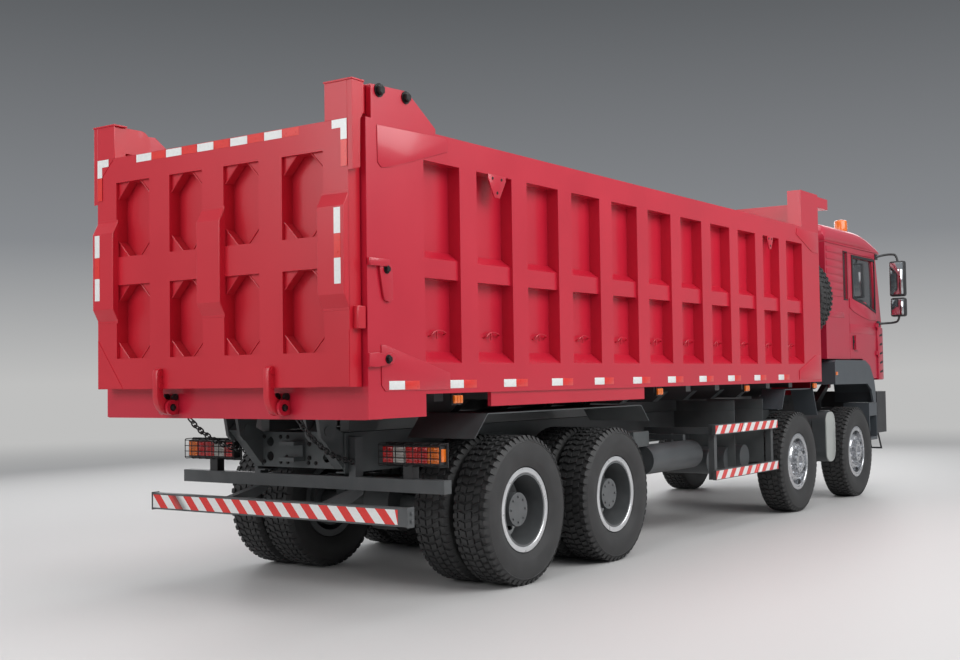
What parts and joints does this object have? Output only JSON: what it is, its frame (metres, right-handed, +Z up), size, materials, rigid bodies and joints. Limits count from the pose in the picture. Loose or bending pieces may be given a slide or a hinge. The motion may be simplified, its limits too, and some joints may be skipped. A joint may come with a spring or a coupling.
{
  "type": "dump truck",
  "caption": "Long tipper truck: ribbed steel load bed with hinged tailgate, front telescopic hoist, tilting cab with opening doors and steered front axles.",
  "frame": {"origin": "centre of the footprint of the bounding box, on the ground", "axes": "the truck's front faces -Y, its right side -X, +Z up"},
  "size_m": [2.94, 10.81, 3.5298],
  "materials": {
    "red_body_paint": "satin",
    "dark_chassis_paint": "satin",
    "grey_panel_plastic": "satin",
    "black_plastic": "satin",
    "tyre_rubber": "matte",
    "polished_alloy": "polished",
    "silver_wheel_paint": "satin",
    "lamp_lens": "gloss",
    "dark_glass": "gloss",
    "bare_steel": "satin",
    "hoist_steel": "satin"
  },
  "bodies": {
    "chassis": {"chains": "bare_steel", "crossmembers": "dark_chassis_paint", "drive_axles": "dark_chassis_paint", "driveline": "dark_chassis_paint", "frame_rails": "dark_chassis_paint", "front_axles": "dark_chassis_paint", "front_bumper": "black_plastic", "lamps": "lamp_lens", "leaf_springs": "dark_chassis_paint", "mounting_brackets": "dark_chassis_paint", "mudguards": "grey_panel_plastic", "rear_underrun": "dark_chassis_paint", "side_guards": "dark_chassis_paint", "spare_rim": "polished_alloy", "spare_tyre": "tyre_rubber", "tanks": "dark_chassis_paint"},
    "wheel_1_right": {"tyre_1_right": "tyre_rubber", "rim_1_right": "polished_alloy"},
    "wheel_1_left": {"tyre_1_left": "tyre_rubber", "rim_1_left": "polished_alloy"},
    "wheel_2_right": {"tyre_2_right": "tyre_rubber", "rim_2_right": "polished_alloy"},
    "wheel_2_left": {"tyre_2_left": "tyre_rubber", "rim_2_left": "polished_alloy"},
    "wheel_3_right": {"tyre_3_right": "tyre_rubber", "rim_3_right": "silver_wheel_paint"},
    "wheel_3_left": {"tyre_3_left": "tyre_rubber", "rim_3_left": "silver_wheel_paint"},
    "wheel_4_right": {"tyre_4_right": "tyre_rubber", "rim_4_right": "silver_wheel_paint"},
    "wheel_4_left": {"tyre_4_left": "tyre_rubber", "rim_4_left": "silver_wheel_paint"},
    "steering_1_right": {"knuckle_1_right": "dark_chassis_paint"},
    "steering_1_left": {"knuckle_1_left": "dark_chassis_paint"},
    "steering_2_right": {"knuckle_2_right": "dark_chassis_paint"},
    "steering_2_left": {"knuckle_2_left": "dark_chassis_paint"},
    "bed": {"bed_floor": "red_body_paint", "bed_sides": "red_body_paint", "headboard": "red_body_paint", "bed_mudguards": "dark_chassis_paint"},
    "tailgate": {"tailgate": "red_body_paint", "tailgate_hooks": "red_body_paint"},
    "hoist_foot": {"hoist_foot": "hoist_steel"},
    "hoist_stage_2": {"hoist_stage_2": "hoist_steel"},
    "hoist_stage_3": {"hoist_stage_3": "hoist_steel"},
    "hoist_stage_4": {"hoist_stage_4": "hoist_steel"},
    "hoist_cover": {"hoist_cover": "hoist_steel"},
    "cab": {"cab_back": "red_body_paint", "cab_fittings": "black_plastic", "cab_floor": "red_body_paint", "cab_front": "red_body_paint", "cab_glass": "dark_glass", "cab_interior": "black_plastic", "cab_roof": "red_body_paint", "cab_sides": "red_body_paint"},
    "door_right": {"door_right": "red_body_paint", "door_glass_right": "dark_glass"},
    "door_left": {"door_left": "red_body_paint", "door_glass_left": "dark_glass"}
  },
  "joints": [
    {"name": "bed_tip", "type": "hinge", "parent": "chassis", "child": "bed", "pos_m": [0, 4.75, 1.15], "axis": [-1, 0, 0], "range_deg": [0, 44], "deforming": ["chains"]},
    {"name": "hoist_swing", "type": "hinge", "parent": "chassis", "child": "hoist_foot", "pos_m": [0, -2.99, 1.03], "axis": [-1, 0, 0], "range_deg": [0, 20.4]},
    {"name": "hoist_stage_2_slide", "type": "slide", "parent": "hoist_foot", "child": "hoist_stage_2", "axis": [0, 0.0454, 0.999], "range_m": [0, 1.445]},
    {"name": "hoist_stage_3_slide", "type": "slide", "parent": "hoist_stage_2", "child": "hoist_stage_3", "axis": [0, 0.0454, 0.999], "range_m": [0, 1.445]},
    {"name": "hoist_stage_4_slide", "type": "slide", "parent": "hoist_stage_3", "child": "hoist_stage_4", "axis": [0, 0.0454, 0.999], "range_m": [0, 1.445]},
    {"name": "hoist_cover_slide", "type": "slide", "parent": "hoist_stage_4", "child": "hoist_cover", "axis": [0, 0.0454, 0.999], "range_m": [0, 1.445]},
    {"name": "tailgate_swing", "type": "hinge", "parent": "bed", "child": "tailgate", "pos_m": [0, 5.114, 3.307], "axis": [1, 0, 0], "range_deg": [0, 75]},
    {"name": "steer_1_right", "type": "hinge", "parent": "chassis", "child": "steering_1_right", "pos_m": [-0.95, -3.95, 0.54], "axis": [0, 0, 1], "range_deg": [-34, 34]},
    {"name": "roll_1_right", "type": "hinge", "parent": "steering_1_right", "child": "wheel_1_right", "pos_m": [-1.076, -3.95, 0.54], "axis": [1, 0, 0], "continuous": true},
    {"name": "steer_1_left", "type": "hinge", "parent": "chassis", "child": "steering_1_left", "pos_m": [0.95, -3.95, 0.54], "axis": [0, 0, 1], "range_deg": [-34, 34]},
    {"name": "roll_1_left", "type": "hinge", "parent": "steering_1_left", "child": "wheel_1_left", "pos_m": [1.076, -3.95, 0.54], "axis": [1, 0, 0], "continuous": true},
    {"name": "steer_2_right", "type": "hinge", "parent": "chassis", "child": "steering_2_right", "pos_m": [-0.95, -2, 0.54], "axis": [0, 0, 1], "range_deg": [-24, 24]},
    {"name": "roll_2_right", "type": "hinge", "parent": "steering_2_right", "child": "wheel_2_right", "pos_m": [-1.076, -2, 0.54], "axis": [1, 0, 0], "continuous": true},
    {"name": "steer_2_left", "type": "hinge", "parent": "chassis", "child": "steering_2_left", "pos_m": [0.95, -2, 0.54], "axis": [0, 0, 1], "range_deg": [-24, 24]},
    {"name": "roll_2_left", "type": "hinge", "parent": "steering_2_left", "child": "wheel_2_left", "pos_m": [1.076, -2, 0.54], "axis": [1, 0, 0], "continuous": true},
    {"name": "roll_3_right", "type": "hinge", "parent": "chassis", "child": "wheel_3_right", "pos_m": [-0.93, 2.15, 0.54], "axis": [1, 0, 0], "continuous": true},
    {"name": "roll_3_left", "type": "hinge", "parent": "chassis", "child": "wheel_3_left", "pos_m": [0.93, 2.15, 0.54], "axis": [1, 0, 0], "continuous": true},
    {"name": "roll_4_right", "type": "hinge", "parent": "chassis", "child": "wheel_4_right", "pos_m": [-0.93, 3.5, 0.54], "axis": [1, 0, 0], "continuous": true},
    {"name": "roll_4_left", "type": "hinge", "parent": "chassis", "child": "wheel_4_left", "pos_m": [0.93, 3.5, 0.54], "axis": [1, 0, 0], "continuous": true},
    {"name": "cab_tilt", "type": "hinge", "parent": "chassis", "child": "cab", "pos_m": [0, -5.2, 1.33], "axis": [1, 0, 0], "range_deg": [0, 55]},
    {"name": "door_right_swing", "type": "hinge", "parent": "cab", "child": "door_right", "pos_m": [-1.136, -5.104, 1.9], "axis": [0, 0, 1], "range_deg": [0, 70]},
    {"name": "door_left_swing", "type": "hinge", "parent": "cab", "child": "door_left", "pos_m": [1.136, -5.104, 1.9], "axis": [0, 0, -1], "range_deg": [0, 70]}
  ],
  "couplings": [
    {"joint": "hoist_swing", "follows": "bed_tip", "ratio": 0.46048},
    {"joint": "hoist_stage_2_slide", "follows": "bed_tip", "m_per_rad": 1.875},
    {"joint": "hoist_stage_3_slide", "follows": "bed_tip", "m_per_rad": 1.875},
    {"joint": "hoist_stage_4_slide", "follows": "bed_tip", "m_per_rad": 1.875},
    {"joint": "hoist_cover_slide", "follows": "bed_tip", "m_per_rad": 1.875},
    {"joint": "steer_1_left", "follows": "steer_1_right", "ratio": 1},
    {"joint": "steer_2_right", "follows": "steer_1_right", "ratio": 0.7},
    {"joint": "steer_2_left", "follows": "steer_1_right", "ratio": 0.7}
  ]
}
